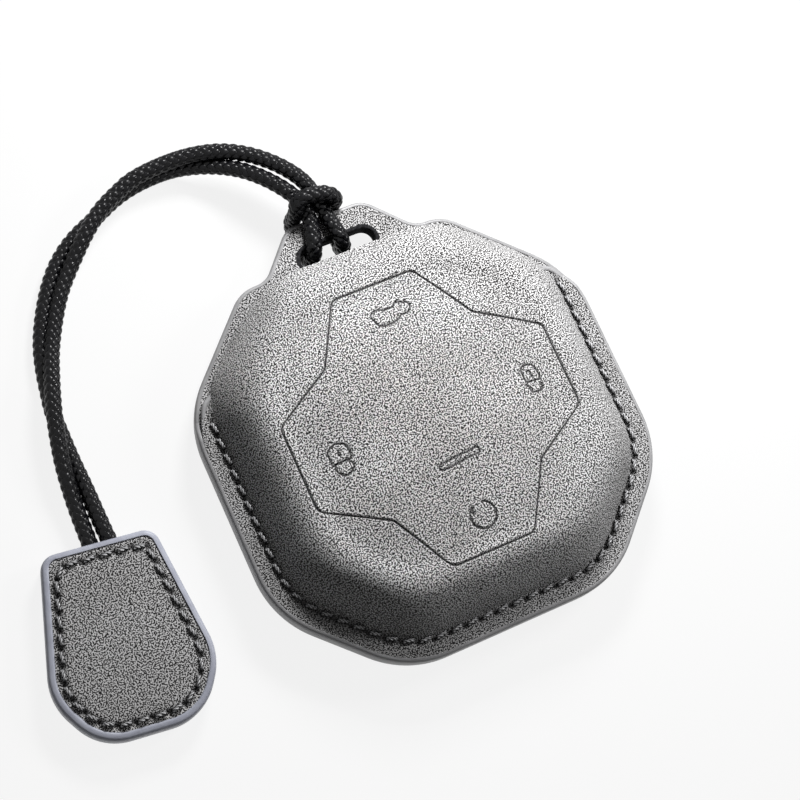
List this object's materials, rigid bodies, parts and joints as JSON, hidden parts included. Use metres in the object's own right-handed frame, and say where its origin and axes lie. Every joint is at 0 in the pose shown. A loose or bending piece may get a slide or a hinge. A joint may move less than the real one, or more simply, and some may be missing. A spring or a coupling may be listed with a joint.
{
  "type": "key fob cover",
  "caption": "Moulded leather pouch with an eight-sided domed front and a stitched rim, with a slotted tab, a hitched braided cord and a leather tag, to protect and carry a remote key.",
  "frame": {"origin": "middle of the flat back on which the cover lies", "axes": "+Z out of the moulded front, +Y towards the mouth and the tab, +X to the right seen from the front"},
  "size_m": [0.098, 0.088, 0.016],
  "materials": {
    "nubuck": "speckled matt nubuck",
    "lining": "matt microfibre",
    "board": "matt fibre board",
    "edge_paint": "smooth satin edge paint",
    "thread": "waxed twisted thread",
    "cord": "waxed round braid",
    "tag_filler": "plain"
  },
  "bodies": {
    "cover": {"front_panel": "nubuck", "front_lining": "lining", "back_outer_panel": "nubuck", "back_stiffener": "board", "back_inner_panel": "nubuck", "rim_edge_coat": "edge_paint", "back_edge_coat": "edge_paint", "lip_edge_coat": "edge_paint", "slot_edge_coat": "edge_paint", "seam_needle_thread": "thread", "seam_bobbin_thread": "thread"},
    "hitch": {"cord_hitch": "cord"},
    "strap": {"cord_strand_outer": "cord", "cord_strand_inner": "cord"},
    "tag": {"tag_front_leather": "nubuck", "tag_core": "tag_filler", "tag_back_leather": "nubuck", "tag_edge_coat": "edge_paint", "tag_needle_thread": "thread", "tag_bobbin_thread": "thread", "tag_cord_ends": "cord"}
  },
  "joints": [
    {"name": "hitch_slide", "type": "slide", "parent": "cover", "child": "hitch", "axis": [1, 0, 0], "range_m": [0, 0.0035]},
    {"name": "strap_swing", "type": "hinge", "parent": "hitch", "child": "strap", "pos_m": [-0.0034, 0.042, 0.0071], "axis": [-1, 0, 0], "range_deg": [-60, 90], "deforming": ["cord_strand_outer", "cord_strand_inner"]},
    {"name": "tag_flap", "type": "hinge", "parent": "strap", "child": "tag", "pos_m": [-0.0511, 0.00265, 0.00212], "axis": [-0.9925, 0.1219, 0], "range_deg": [-75, 90], "deforming": ["cord_strand_outer", "cord_strand_inner"]}
  ]
}
